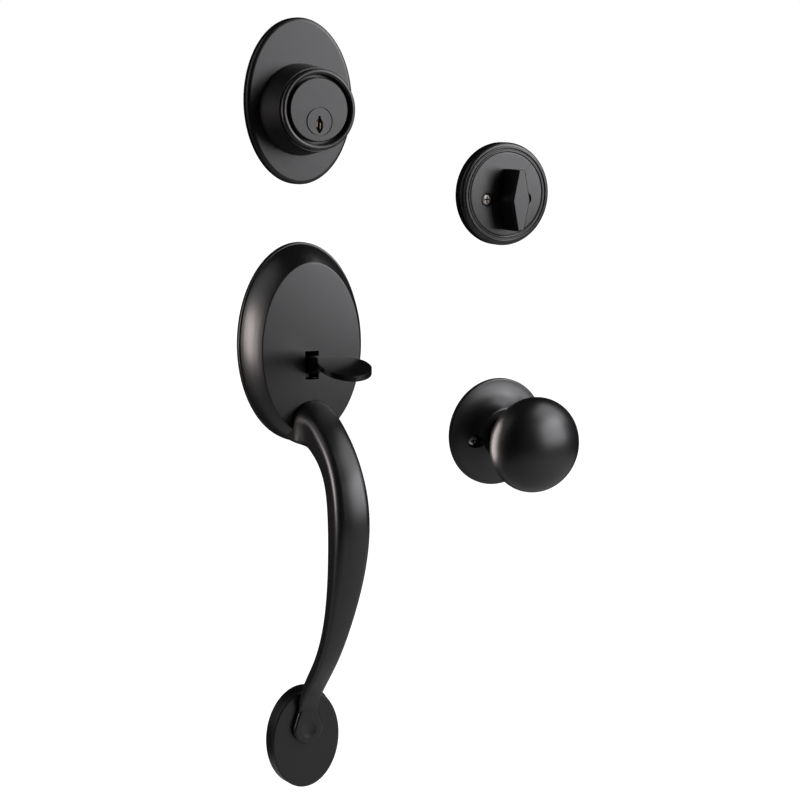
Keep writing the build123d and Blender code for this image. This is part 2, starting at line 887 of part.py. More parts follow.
with BuildPart() as escutcheon:
    with BuildSketch(wall(0, 0)):
        Ellipse(oval_half_x, oval_half_z)
    extrude(amount=flange_h)
    fillet(escutcheon.faces().sort_by(Axis.Y)[0].edges(), flange_step * 0.7)
    add(ovals(side_rows, 0, 0, straight=False))
    fillet(escutcheon.faces().sort_by(Axis.Y)[0].edges(), face_edge)
    add(ovals(hollow_rows, 0, 0), mode=Mode.SUBTRACT)
    for side in (-1, 1):
        add(
            ring(0, boss_r, carrier_t, face_h - oval_wall / 2, side * carrier_screw_x, carrier_screw_z),
        )
        add(
            ring(
                0,
                screw_r + fixed_fit,
                carrier_t,
                face_h - oval_wall,
                side * carrier_screw_x,
                carrier_screw_z,
            ),
            mode=Mode.SUBTRACT,
        )
        near = side * (thumb_barrel_half + apart)
        far = side * (thumb_barrel_half + apart + ear_t)
        add(
            block(
                (min(near, far), max(near, far)),
                (-face_h + oval_wall / 2, -ear_h),
                (pivot_z - ear_half_z, pivot_z + ear_half_z),
            )
        )
    with BuildSketch(Plane.YZ.offset(-thumb_barrel_half - ear_t - 1)):
        with Locations((-pivot_h, pivot_z)):
            Circle(pivot_r + fixed_fit)
    extrude(amount=2 * (thumb_barrel_half + ear_t + 1), mode=Mode.SUBTRACT)
    add(
        block((-slot_half_x, slot_half_x), (-face_h, -face_h + oval_wall + 1), (slot_bottom, slot_top)),
        mode=Mode.SUBTRACT,
    )
    with BuildSketch(wall(0, 0, flange_h)):
        add(arch(arch_play))
    extrude(amount=face_h, mode=Mode.SUBTRACT)

# Carrier plate: closes the escutcheon's back and carries the hub, the posts and the spring's ledge
ledge_x = lever_arm
with BuildPart() as carrier_plate:
    with BuildSketch(wall(0, 0)):
        Ellipse(hollow_rows[0][0] - apart, hollow_rows[0][1] - apart)
    extrude(amount=carrier_t)
    for side in (-1, 1):
        add(
            turned(
                [(0, 0), (flat_head_r, 0), (screw_r, flat_head_t), (screw_r, carrier_t), (0, carrier_t)],
                side * carrier_screw_x,
                carrier_screw_z,
            ),
            mode=Mode.SUBTRACT,
        )
    add(
        turned(
            [(0, 0), (flat_head_r, 0), (screw_r, flat_head_t), (screw_r, carrier_t), (0, carrier_t)],
            0,
            grip_screw_z,
        ),
        mode=Mode.SUBTRACT,
    )
    with BuildSketch(wall(0, latch_z)):
        Circle(hub_r + running)
    extrude(amount=carrier_t, mode=Mode.SUBTRACT)
    with BuildSketch(wall(0, posts_z)):
        with GridLocations(2 * knob_screw_x, 0, 2, 1):
            Circle(oval_post_r + fixed_fit)
    extrude(amount=carrier_t, mode=Mode.SUBTRACT)
    add(
        block(
            (lever_arm - pad_half_x - apart, lever_arm + pad_half_x + apart),
            (-carrier_t, 0),
            (tail_low - 1.5, latch_z + lever_arm / 2),
        ),
        mode=Mode.SUBTRACT,
    )
    add(
        block(
            (ledge_x - pad_half_x, ledge_x + pad_half_x),
            (-carrier_t - ledge_reach, -carrier_t),
            (ledge_z, ledge_z + ledge_t),
        )
    )

with BuildPart() as carrier_screws:
    for side in (-1, 1):
        add(flat_screw(side * carrier_screw_x, carrier_screw_z, face_h - oval_wall - 1))

with BuildPart() as mounting_posts:
    for side in (-1, 1):
        with BuildSketch(wall(side * knob_screw_x, posts_z, -oval_post_length)):
            Circle(oval_post_r)
        extrude(amount=oval_post_length + carrier_t)
        with BuildSketch(wall(side * knob_screw_x, posts_z, carrier_t)):
            Circle(post_flange_r)
        extrude(amount=post_flange_t)
        with BuildSketch(wall(side * knob_screw_x, posts_z, -oval_post_length)):
            Circle(thread_bore_r)
        extrude(amount=oval_post_thread, mode=Mode.SUBTRACT)

# Drive hub, lift lever, clip and spindle, which turn together behind the escutcheon
clip_low_h = -lever_back - lever_t - clip_t
hub_front = carrier_t + running + hub_flange_t
with BuildPart() as drive_hub:
    add(ring(0, hub_r, -hub_back, hub_front, 0, latch_z))
    add(ring(0, hub_flange_r, carrier_t + running, hub_front, 0, latch_z))
    add(
        ring(hub_r - ring_groove, hub_r, clip_low_h, clip_low_h + clip_t, 0, latch_z),
        mode=Mode.SUBTRACT,
    )
    add(half_round(0, latch_z, -hub_back, hub_front - 1, fixed_fit), mode=Mode.SUBTRACT)

with BuildPart() as lift_lever:
    with BuildSketch(wall(0, latch_z, -lever_back - lever_t)):
        Circle(lever_ring_r)
        with Locations((lever_arm / 2, 0)):
            Rectangle(lever_arm, lever_arm_w)
        with Locations((lever_arm, 0)):
            Circle(lobe_r)
        Circle(hub_r + fixed_fit, mode=Mode.SUBTRACT)
    extrude(amount=lever_t)

with BuildPart() as hub_clip:
    add(
        ring(
            hub_r - ring_groove + fixed_fit,
            hub_r + ring_width,
            clip_low_h,
            clip_low_h + clip_t,
            0,
            latch_z,
        )
    )

with BuildPart() as drive_spindle:
    add(half_round(0, latch_z, -spindle_length, hub_front - 1))

# Thumbpiece: paddle, neck, barrel and tail in one casting
paddle_back_h = paddle_mid_h - paddle_half_y
paddle_tip_h = paddle_mid_h + paddle_half_y
neck_top = pivot_z + thumb_barrel_r + 1.0
paddle_end_z = paddle_top_z - paddle_sag
with BuildPart() as paddle:
    with BuildSketch(Plane.YZ.offset(-paddle_half_x)):
        with BuildLine():
            top = ThreePointArc(
                (-face_h, neck_top + 1.5),
                (-(face_h + paddle_tip_h) / 2, paddle_top_z + 0.8),
                (-paddle_tip_h, paddle_end_z - 1.5),
            )
            Line(top @ 1, top @ 1 - Vector(0, paddle_t))
            ThreePointArc(
                (-paddle_tip_h, paddle_end_z - 1.5 - paddle_t),
                (-(face_h + paddle_tip_h) / 2, paddle_top_z + 0.8 - paddle_t),
                (-face_h, neck_top + 1.5 - paddle_t),
            )
            Line((-face_h, neck_top + 1.5 - paddle_t), top @ 0)
        make_face()
    extrude(amount=2 * paddle_half_x)
    with BuildSketch(Plane.XY.offset(pivot_z - paddle_half_x)):
        with BuildLine():
            Line((-neck_half_x, -face_h), (neck_half_x, -face_h))
            Spline(
                (neck_half_x, -face_h),
                (neck_half_x + 2.0, -face_h - neck_run),
                (paddle_half_x * 0.72, -paddle_mid_h + paddle_half_y * 0.75),
                (paddle_half_x, -paddle_mid_h),
                tangents=((0, -1), (0, -1)),
            )
            ThreePointArc(
                (paddle_half_x, -paddle_mid_h),
                (0, -paddle_tip_h),
                (-paddle_half_x, -paddle_mid_h),
            )
            Spline(
                (-paddle_half_x, -paddle_mid_h),
                (-paddle_half_x * 0.72, -paddle_mid_h + paddle_half_y * 0.75),
                (-neck_half_x - 2.0, -face_h - neck_run),
                (-neck_half_x, -face_h),
                tangents=((0, 1), (0, 1)),
            )
        make_face()
    extrude(amount=2 * paddle_half_x, mode=Mode.INTERSECT)

pad_top = latch_z - lobe_r - apart
with BuildPart() as thumbpiece:
    add(paddle.part)
    with BuildSketch(Plane.YZ.offset(-neck_half_x)):
        with BuildLine():
            Polyline(
                (-pivot_h, pivot_z + thumb_barrel_r),
                (-face_h, neck_top + 1.5),
                (-paddle_back_h, paddle_top_z - 1.0),
                (-paddle_back_h - paddle_rib, paddle_top_z - paddle_t + 0.6),
                (-paddle_back_h + 4, paddle_top_z - paddle_t - 2.0),
                (-face_h - 3, pivot_z - thumb_barrel_r + 0.5),
                (-pivot_h, pivot_z - thumb_barrel_r),
                close=True,
            )
        make_face()
    extrude(amount=2 * neck_half_x)
    with BuildSketch(Plane.YZ.offset(-thumb_barrel_half)):
        with Locations((-pivot_h, pivot_z)):
            Circle(thumb_barrel_r)
    extrude(amount=2 * thumb_barrel_half)
    add(
        block(
            (-thumb_barrel_half, thumb_barrel_half),
            (-pivot_h, -ear_h + apart + tail_arm_t),
            (pad_top - pad_t, pivot_z),
        )
    )
    add(
        block(
            (-thumb_barrel_half, lever_arm + pad_half_x),
            (-ear_h + apart, -ear_h + apart + tail_arm_t),
            (pad_top - pad_t, pad_top),
        )
    )
    add(
        block(
            (lever_arm - pad_half_x, lever_arm + pad_half_x),
            (-ear_h + apart, lever_back + lever_t + apart),
            (pad_top - pad_t, pad_top),
        )
    )
    with BuildSketch(Plane.YZ.offset(-thumb_barrel_half)):
        with Locations((-pivot_h, pivot_z)):
            Circle(pivot_r + running)
    extrude(amount=2 * thumb_barrel_half, mode=Mode.SUBTRACT)

with BuildPart() as thumb_pin:
    with BuildSketch(Plane.YZ.offset(-thumb_barrel_half - apart - ear_t)):
        with Locations((-pivot_h, pivot_z)):
            Circle(pivot_r)
    extrude(amount=2 * (thumb_barrel_half + apart + ear_t))

with BuildPart() as thumb_spring:
    add(
        coil(
            thumb_spring_r,
            thumb_spring_wire,
            ledge_z - pad_top,
            thumb_spring_turns,
            Plane(origin=(ledge_x, -carrier_t - ledge_reach / 2, pad_top), z_dir=(0, 0, 1)),
        )
    )

# Grip: a lofted bar from the arched root to the foot, with its root boss and foot pad
# Each station of the bar: share of the way down to the pad, Y of its middle, half width and depth
grip_stations = [
    (0.0186, -29.5, 10.8, 22.6),
    (0.0419, -40.5, 10.2, 21.0),
    (0.0759, -50.0, 10.0, 20.2),
    (0.1194, -57.6, 10.1, 20.2),
    (0.1724, -63.0, 10.5, 20.6),
    (0.2329, -65.7, 10.8, 20.8),
    (0.2992, -66.1, 10.7, 20.2),
    (0.3682, -64.6, 10.3, 18.4),
    (0.4451, -61.4, 9.6, 15.6),
    (0.5273, -56.4, 8.6, 13.0),
    (0.6095, -49.8, 7.5, 11.4),
    (0.6918, -41.3, 6.6, 10.4),
    (0.7660, -31.4, 6.1, 9.6),
    (0.8302, -21.6, 6.1, 8.8),
    (0.8833, -14.6, 6.3, 6.8),
    (0.9332, -10.9, 6.5, 3.4),
    (0.9756, -10.4, 6.5, 2.6),
]


dimple_ball_r = (pad_dimple_r**2 + pad_dimple**2) / (2 * pad_dimple)


def grip_outline(half_x, depth):
    """Crowned front, flat flanks and a rounder, narrower back; local y points to the front."""
    half_back = half_x * (1 - grip_taper)
    front = depth * (0.5 - grip_crown)
    back = -front
    with BuildSketch() as outline:
        with BuildLine():
            ThreePointArc((-half_x, front), (0, depth / 2), (half_x, front))
            Line((half_x, front), (half_back, back))
            ThreePointArc((half_back, back), (0, -depth / 2), (-half_back, back))
            Line((-half_back, back), (-half_x, front))
        make_face()
        fillet(outline.vertices().group_by(Axis.Y)[-1], depth * grip_corner)
        fillet(outline.vertices().group_by(Axis.Y)[0], depth * grip_back_corner)
    return outline.sketch


with BuildPart() as grip_bar:
    with BuildSketch(wall(0, 0, face_h)):
        add(arch())
    with BuildSketch(wall(0, 0, face_h + 1)):
        add(arch())
    before = (-face_h, arch_mid)
    middles = [(y, arch_mid + share * (pad_z - arch_mid)) for share, y, _, _ in grip_stations]
    for k, (_, _, half_x, depth) in enumerate(grip_stations):
        y, z = middles[k]
        after = middles[min(k + 1, len(middles) - 1)]
        forward = Vector(0, after[0] - before[0], after[1] - before[1])
        with BuildSketch(Plane(origin=(0, y, z), x_dir=(1, 0, 0), z_dir=forward)):
            add(grip_outline(half_x, depth))
        before = (y, z)
    loft()

with BuildPart() as foot_pad:
    with BuildSketch(wall(0, pad_z, foot_h)):
        Circle(pad_r)
        with Locations((0, pad_neck_z)):
            Circle(pad_neck_r)
        make_hull()
    extrude(amount=pad_h)
    fillet(foot_pad.faces().sort_by(Axis.Y)[0].edges(), pad_edge)
    with Locations((0, -foot_h - pad_h - dimple_ball_r + pad_dimple, pad_z)):
        Sphere(dimple_ball_r, mode=Mode.SUBTRACT)

with BuildPart() as grip:
    add(grip_bar.part)
    with BuildSketch(wall(0, 0, flange_h + apart)):
        add(arch())
    extrude(amount=face_h - flange_h - apart)
    with BuildSketch(wall(0, grip_screw_z, carrier_t)):
        Circle(grip_boss_r)
    extrude(amount=2 * flange_h)
    with BuildSketch(wall(0, grip_screw_z, carrier_t)):
        Circle(screw_r + fixed_fit)
    extrude(amount=grip_screw_depth, mode=Mode.SUBTRACT)
    add(foot_pad.part)
    with BuildSketch(wall(0, pad_z)):
        Circle(spigot_r)
    extrude(amount=foot_h)
    with BuildSketch(wall(0, pad_z)):
        Circle(thread_bore_r)
    extrude(amount=foot_thread, mode=Mode.SUBTRACT)

with BuildPart() as grip_screw:
    add(flat_screw(0, grip_screw_z, carrier_t + grip_screw_depth - 1))

# Foot plate: an oval casting, hollow behind, that the grip's foot stands on
with BuildPart() as foot_plate:
    add(
        ovals(
            [
                (foot_half_x, foot_half_z, 0, 0),
                (foot_half_x - foot_taper, foot_half_z - foot_taper, foot_h, 0),
            ],
            0,
            foot_z,
        )
    )
    fillet(foot_plate.faces().sort_by(Axis.Y)[0].edges(), foot_edge)
    add(
        ovals(
            [
                (foot_half_x - foot_wall, foot_half_z - foot_wall, 0, 0),
                (
                    foot_half_x - foot_taper - foot_wall,
                    foot_half_z - foot_taper - foot_wall,
                    foot_h - foot_wall,
                    0,
                ),
            ],
            0,
            foot_z,
        ),
        mode=Mode.SUBTRACT,
    )
    with BuildSketch(wall(0, pad_z)):
        Circle(spigot_r + fixed_fit)
    extrude(amount=foot_h, mode=Mode.SUBTRACT)

# One file for each piece
pieces = {
    "deadbolt_plate": deadbolt_plate,
    "deadbolt_collar": deadbolt_collar,
    "cylinder_body": cylinder_body,
    "cylinder_plug": cylinder_plug,
    "key_pins": key_pins,
    "driver_pins": driver_pins,
    "pin_springs": pin_springs,
    "pin_cover": pin_cover,
    "plug_clip": plug_clip,
    "tailpiece": tailpiece,
    "turn_rose": turn_rose,
    "thumbturn": thumbturn,
    "turn_backplate": turn_backplate,
    "turn_retainer": turn_retainer,
    "turn_screws": turn_screws,
    "knob_rose": knob_rose,
    "knob": knob,
    "knob_shank": knob_shank,
    "knob_spindle": knob_spindle,
    "knob_ring": knob_ring,
    "knob_backplate": knob_backplate,
    "spring_housing": spring_housing,
    "knob_spring": knob_spring,
    "knob_screws": knob_screws,
    "escutcheon": escutcheon,
    "carrier_plate": carrier_plate,
    "carrier_screws": carrier_screws,
    "mounting_posts": mounting_posts,
    "drive_hub": drive_hub,
    "lift_lever": lift_lever,
    "hub_clip": hub_clip,
    "drive_spindle": drive_spindle,
    "thumbpiece": thumbpiece,
    "thumb_pin": thumb_pin,
    "thumb_spring": thumb_spring,
    "grip": grip,
    "grip_screw": grip_screw,
    "foot_plate": foot_plate,
}
for name, piece in pieces.items():
    piece.part.label = name
    export_step(piece.part, f"parts/{name}.step")
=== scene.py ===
"""Entry door handleset: its finishes, knob shell, thumbpiece spring, screw threads and studio."""
import math

import bmesh
import bpy
from bpy.props import FloatProperty, FloatVectorProperty, IntProperty, PointerProperty
from mathutils import Matrix, Vector


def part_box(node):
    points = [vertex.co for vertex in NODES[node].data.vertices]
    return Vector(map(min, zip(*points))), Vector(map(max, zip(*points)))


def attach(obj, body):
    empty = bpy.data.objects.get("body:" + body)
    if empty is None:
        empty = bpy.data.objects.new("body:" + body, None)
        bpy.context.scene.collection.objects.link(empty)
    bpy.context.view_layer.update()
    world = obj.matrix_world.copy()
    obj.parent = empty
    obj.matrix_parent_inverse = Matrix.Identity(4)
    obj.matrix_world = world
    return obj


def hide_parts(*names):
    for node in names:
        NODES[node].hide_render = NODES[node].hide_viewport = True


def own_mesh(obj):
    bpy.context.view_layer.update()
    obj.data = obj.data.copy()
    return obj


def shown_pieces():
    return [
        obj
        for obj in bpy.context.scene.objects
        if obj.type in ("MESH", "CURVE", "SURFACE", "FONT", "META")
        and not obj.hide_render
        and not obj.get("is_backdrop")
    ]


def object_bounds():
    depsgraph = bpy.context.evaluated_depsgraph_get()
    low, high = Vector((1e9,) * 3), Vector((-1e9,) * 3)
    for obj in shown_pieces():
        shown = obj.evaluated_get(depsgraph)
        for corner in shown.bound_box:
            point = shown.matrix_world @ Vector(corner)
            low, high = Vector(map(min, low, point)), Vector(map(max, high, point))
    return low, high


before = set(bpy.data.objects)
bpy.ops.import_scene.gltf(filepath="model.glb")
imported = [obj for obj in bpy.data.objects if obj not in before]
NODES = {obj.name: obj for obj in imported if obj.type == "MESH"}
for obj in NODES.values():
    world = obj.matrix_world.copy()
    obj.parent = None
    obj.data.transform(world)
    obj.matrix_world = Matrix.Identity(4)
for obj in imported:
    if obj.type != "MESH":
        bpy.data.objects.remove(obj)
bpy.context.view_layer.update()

bl_info = {
    "name": "Entry Door Handleset",
    "version": (1, 0, 0),
    "blender": (4, 5, 0),
    "location": "3D View > Sidebar > Handleset",
    "description": "Finishes, fine shapes and studio for an entry door handleset",
    "category": "Object",
}

MM = 0.001

# Door screws
SCREW_HEAD = 3.4 * MM       # radius of the head
SCREW_SHAFT = 2.0 * MM      # radius of the shaft
CROSS_REACH = 2.05 * MM     # from the head's middle to the ends of its cross
CROSS_TOP = 0.7 * MM        # depth under the head's crown from which the cross gets painted shade
BARE_TIP = 0.4 * MM         # end of the shaft that has no thread
THREAD_START = {"turn_screws": 2.3 * MM, "knob_screws": 11.3 * MM}

# Tool marks on bare metal
MARK_SIZE = 0.4 * MM
MARK_DETAIL = 5.0
MARK_SMOOTHER = 0.06        # how far they take the roughness down
MARK_ROUGHER = 0.10         # and up

# Stage
COOL = (0.99, 0.97, 1.0)
WARM = (1.0, 0.90, 0.88)
WHITE = (1.0, 1.0, 1.0, 1.0)
FLOOR_SIZE = 60.0
FLOOR_DROP = 0.25           # from the foot plate down to the floor
CARDS = (                   # name, middle from the camera's target, facing, width, height
    ("card_behind", (0.459, 0.36, 0.35), (0.0, -1.0, 0.0), 1.95, 1.78),
    ("card_left", (-0.66, -0.61, 0.35), (1.0, 0.0, 0.0), 1.18, 1.78),
    ("card_right", (1.43, -0.75, 0.35), (-1.0, 0.0, 0.0), 2.3, 2.6),
    ("card_front", (0.2, -1.9, 0.35), (0.0, 1.0, 0.0), 2.6, 2.6),
    ("card_above", (0.2, -0.75, 1.5), (0.0, 0.0, -1.0), 2.6, 2.4),
)


# Settings

class CoatingSettings(bpy.types.PropertyGroup):
    """Black coating of the castings."""

    colour: FloatVectorProperty(
        name="Colour", description="Colour of the coating",
        subtype="COLOR", size=3, min=0.0, max=1.0, default=(0.0030, 0.0028, 0.0030),
    )
    roughness: FloatProperty(
        name="Roughness", description="How soft the coating's reflections are",
        min=0.05, max=1.0, default=0.34,
    )
    shine: FloatProperty(
        name="Shine", description="Strength of the coating's reflections",
        min=0.0, max=1.0, default=0.5,
    )
    grain: FloatProperty(
        name="Grain", description="Size of the coating's fine grain",
        min=0.00005, max=0.01, default=0.0004, subtype="DISTANCE", unit="LENGTH",
    )
    grain_depth: FloatProperty(
        name="Grain depth", description="Depth of the coating's fine grain",
        min=0.0, max=0.001, default=0.0000008, subtype="DISTANCE", unit="LENGTH",
    )


class MetalSettings(bpy.types.PropertyGroup):
    """Bare and plated metals of the fittings."""

    steel: FloatVectorProperty(
        name="Steel", description="Colour of the screws",
        subtype="COLOR", size=3, min=0.0, max=1.0, default=(0.62, 0.58, 0.54),
    )
    zinc: FloatVectorProperty(
        name="Zinc plating", description="Colour of the plates behind the trim",
        subtype="COLOR", size=3, min=0.0, max=1.0, default=(0.56, 0.57, 0.58),
    )
    yellow_zinc: FloatVectorProperty(
        name="Yellow plating", description="Colour of the plate inside the escutcheon",
        subtype="COLOR", size=3, min=0.0, max=1.0, default=(0.62, 0.49, 0.24),
    )
    brass: FloatVectorProperty(
        name="Brass", description="Colour of the plug, pins and hub",
        subtype="COLOR", size=3, min=0.0, max=1.0, default=(0.65, 0.47, 0.20),
    )


class KnobSettings(bpy.types.PropertyGroup):
    """Hollow shell of the knob."""

    half_depth: FloatProperty(
        name="Half depth", description="Half of the flattened ball's depth",
        min=0.005, default=0.020, subtype="DISTANCE", unit="LENGTH",
    )
    wall: FloatProperty(
        name="Wall", description="Thickness of the shell",
        min=0.0005, default=0.0016, subtype="DISTANCE", unit="LENGTH",
    )
    collar_radius: FloatProperty(
        name="Collar radius", description="Outside radius of the collar behind the ball",
        min=0.005, default=0.0136, subtype="DISTANCE", unit="LENGTH",
    )
    collar: FloatProperty(
        name="Collar", description="Depth of the collar behind the ball",
        min=0.0005, default=0.0022, subtype="DISTANCE", unit="LENGTH",
    )
    sleeve_radius: FloatProperty(
        name="Sleeve radius", description="Radius of the hole that takes the shank",
        min=0.005, default=0.01205, subtype="DISTANCE", unit="LENGTH",
    )


class SpringSettings(bpy.types.PropertyGroup):
    """Return spring of the thumbpiece."""

    wire: FloatProperty(
        name="Wire", description="Radius of the wire",
        min=0.0001, default=0.00035, subtype="DISTANCE", unit="LENGTH",
    )
    turns: IntProperty(
        name="Turns", description="Turns of the coil", min=2, default=6,
    )
    steps: IntProperty(
        name="Steps", description="Straight pieces in one turn of the coil", min=8, default=32,
    )
    keep: FloatProperty(
        name="Pressed length", description="Share of its length that the spring keeps when pressed",
        min=0.3, max=1.0, default=0.812, subtype="FACTOR",
    )


class ThreadSettings(bpy.types.PropertyGroup):
    """Threads of the door screws."""

    pitch: FloatProperty(
        name="Pitch", description="Distance from one turn to the next",
        min=0.0003, max=0.002, default=0.0008, subtype="DISTANCE", unit="LENGTH",
    )
    height: FloatProperty(
        name="Height", description="Height of the ridge above the shaft",
        min=0.0001, max=0.0006, default=0.00028, subtype="DISTANCE", unit="LENGTH",
    )
    steps: IntProperty(
        name="Steps", description="Straight pieces in one turn of the ridge",
        min=8, max=64, default=24,
    )


class StudioSettings(bpy.types.PropertyGroup):
    """Camera, lamps and backdrop."""

    azimuth: FloatProperty(
        name="Azimuth", description="Camera's direction round the door's upright",
        default=math.radians(-27.5), subtype="ANGLE", unit="ROTATION",
    )
    elevation: FloatProperty(
        name="Elevation", description="Camera's height above the level",
        default=math.radians(10.5), subtype="ANGLE", unit="ROTATION",
    )
    roll: FloatProperty(
        name="Roll", description="Camera's tilt about its own line of sight",
        default=math.radians(0.35), subtype="ANGLE", unit="ROTATION",
    )
    distance: FloatProperty(
        name="Distance", description="Camera to the middle of the picture",
        min=0.2, default=0.93, subtype="DISTANCE", unit="LENGTH",
    )
    lens: FloatProperty(
        name="Lens", description="Focal length on a 36 mm sensor, in millimetres",
        min=10.0, default=69.75,
    )
    target: FloatVectorProperty(
        name="Target", description="Point in the middle of the picture",
        default=(0.0662, 0.0, -0.0393), subtype="TRANSLATION", unit="LENGTH", size=3,
    )
    key: FloatProperty(
        name="Key lamp", description="Power of the large lamp high on the right",
        min=0.0, default=11.0, unit="POWER",
    )
    front: FloatProperty(
        name="Front lamp", description="Power of the soft lamp in front",
        min=0.0, default=20.0, unit="POWER",
    )
    strip: FloatProperty(
        name="Strip lamp", description="Power of the narrow lamp behind on the left",
        min=0.0, default=6.8, unit="POWER",
    )
    edge: FloatProperty(
        name="Edge lamp", description="Power of the small lamp beside the knob",
        min=0.0, default=2.2, unit="POWER",
    )
    gleam: FloatProperty(
        name="Gleam lamp", description="Power of the small lamp on the escutcheon's upper right",
        min=0.0, default=0.18, unit="POWER",
    )
    side: FloatProperty(
        name="Side lamp", description="Power of the lamp beside the deadbolt's collar",
        min=0.0, default=3.0, unit="POWER",
    )
    back: FloatProperty(
        name="Back lamp", description="Power of the lamp behind the hidden fittings",
        min=0.0, default=28.0, unit="POWER",
    )
    room: FloatProperty(
        name="Room light", description="Brightness of the room where it lights the set",
        min=0.0, default=0.2,
    )


# Node helpers

def new_material(name):
    """Material with a fresh tree, its main shader and its output."""
    material = bpy.data.materials.new(name)
    material.use_nodes = True
    tree = material.node_tree
    tree.nodes.clear()
    shader = tree.nodes.new("ShaderNodeBsdfPrincipled")
    output = tree.nodes.new("ShaderNodeOutputMaterial")
    tree.links.new(shader.outputs["BSDF"], output.inputs["Surface"])
    return material, tree, shader


def noise(tree, size, detail=3.0, stretch=(1.0, 1.0, 1.0)):
    """Noise with features of a size in metres, longer where the stretch is under one."""
    place = tree.nodes.new("ShaderNodeTexCoord")
    mapping = tree.nodes.new("ShaderNodeMapping")
    mapping.inputs["Scale"].default_value = stretch
    texture = tree.nodes.new("ShaderNodeTexNoise")
    texture.inputs["Scale"].default_value = 1.0 / size
    texture.inputs["Detail"].default_value = detail
    tree.links.new(place.outputs["Object"], mapping.inputs["Vector"])
    tree.links.new(mapping.outputs["Vector"], texture.inputs["Vector"])
    return texture.outputs["Fac"]


def spread(tree, source, low, high):
    """A value from 0 to 1 spread between two limits."""
    node = tree.nodes.new("ShaderNodeMapRange")
    node.inputs["To Min"].default_value = low
    node.inputs["To Max"].default_value = high
    tree.links.new(source, node.inputs["Value"])
    return node.outputs["Result"]


def blended(tree, factor, first, second):
    """Two colours mixed by a value; each is a colour or another node's output."""
    node = tree.nodes.new("ShaderNodeMix")
    node.data_type = "RGBA"
    tree.links.new(factor, node.inputs["Factor"])
    for name, colour in (("A", first), ("B", second)):
        socket = [s for s in node.inputs if s.name == name and s.type == "RGBA"][0]
        if isinstance(colour, bpy.types.NodeSocket):
            tree.links.new(colour, socket)
        else:
            socket.default_value = (*colour, 1.0)
    return [s for s in node.outputs if s.type == "RGBA"][0]


def computed(tree, operation, *values):
    """Result of a sum; each value is a number or another node's output."""
    node = tree.nodes.new("ShaderNodeMath")
    node.operation = operation
    for socket, value in zip(node.inputs, values):
        if isinstance(value, bpy.types.NodeSocket):
            tree.links.new(value, socket)
        else:
            socket.default_value = value
    return node.outputs["Value"]


def place_on_piece(tree):
    """X, Y and Z of each point, in metres."""
    place = tree.nodes.new("ShaderNodeTexCoord")
    parts = tree.nodes.new("ShaderNodeSeparateXYZ")
    tree.links.new(place.outputs["Object"], parts.inputs["Vector"])
    return parts.outputs["X"], parts.outputs["Y"], parts.outputs["Z"]


def toned(colour, share):
    """A colour made lighter or darker."""
    return tuple(channel * share for channel in colour)


def uneven(tree, shader, source, roughness, smoother, rougher):
    """Roughness that wanders a little to either side."""
    gloss = spread(tree, source, roughness - smoother, roughness + rougher)
    tree.links.new(gloss, shader.inputs["Roughness"])


def grain(tree, shader, source, depth):
    """Fine relief of a depth in metres."""
    bump = tree.nodes.new("ShaderNodeBump")
    bump.inputs["Strength"].default_value = 1.0
    bump.inputs["Distance"].default_value = depth
    tree.links.new(source, bump.inputs["Height"])
    tree.links.new(bump.outputs["Normal"], shader.inputs["Normal"])


# Finishes

def satin_black(name, smoother=0.0):
    """Baked satin black coating with a fine grain and slightly uneven gloss."""
    coat = bpy.context.scene.handleset_coating
    material, tree, shader = new_material(name)
    clouds = noise(tree, 0.018, 2.0)
    colour = blended(tree, clouds, coat.colour, toned(coat.colour, 1.35))
    tree.links.new(colour, shader.inputs["Base Color"])
    uneven(tree, shader, noise(tree, 0.006), coat.roughness - smoother, 0.03, 0.04)
    shader.inputs["Specular IOR Level"].default_value = coat.shine
    grain(tree, shader, noise(tree, coat.grain, 4.0), coat.grain_depth)
    return material


def plug_finish():
    """Black face over bare brass, which shows inside the keyway."""
    coat = bpy.context.scene.handleset_coating
    metals = bpy.context.scene.handleset_metals
    low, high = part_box("cylinder_plug")
    material, tree, shader = new_material("plug_black_and_brass")
    inside = tree.nodes.new("ShaderNodeMapRange")
    inside.inputs["From Min"].default_value = low.y + 0.9 * MM
    inside.inputs["From Max"].default_value = low.y + 1.6 * MM
    x, y, z = place_on_piece(tree)
    tree.links.new(y, inside.inputs["Value"])
    bare = inside.outputs["Result"]
    stain = blended(tree, noise(tree, 0.0015), metals.brass, toned(metals.brass, 0.7))
    tree.links.new(blended(tree, bare, coat.colour, stain), shader.inputs["Base Color"])
    tree.links.new(bare, shader.inputs["Metallic"])
    uneven(tree, shader, noise(tree, 0.004), coat.roughness, 0.06, 0.02)
    shader.inputs["Specular IOR Level"].default_value = coat.shine
    grain(tree, shader, noise(tree, coat.grain, 4.0), coat.grain_depth)
    return material


def brushed(name, colour, roughness, stretch=(1.0, 1.0, 1.0)):
    """Bare or plated metal with fine tool marks, longer along one direction where stretched."""
    material, tree, shader = new_material(name)
    marks = noise(tree, MARK_SIZE, MARK_DETAIL, stretch)
    metal = blended(tree, noise(tree, 0.004), colour, toned(colour, 0.78))
    tree.links.new(metal, shader.inputs["Base Color"])
    uneven(tree, shader, marks, roughness, MARK_SMOOTHER, MARK_ROUGHER)
    shader.inputs["Metallic"].default_value = 1.0
    grain(tree, shader, marks, 0.012 * MM)
    return material


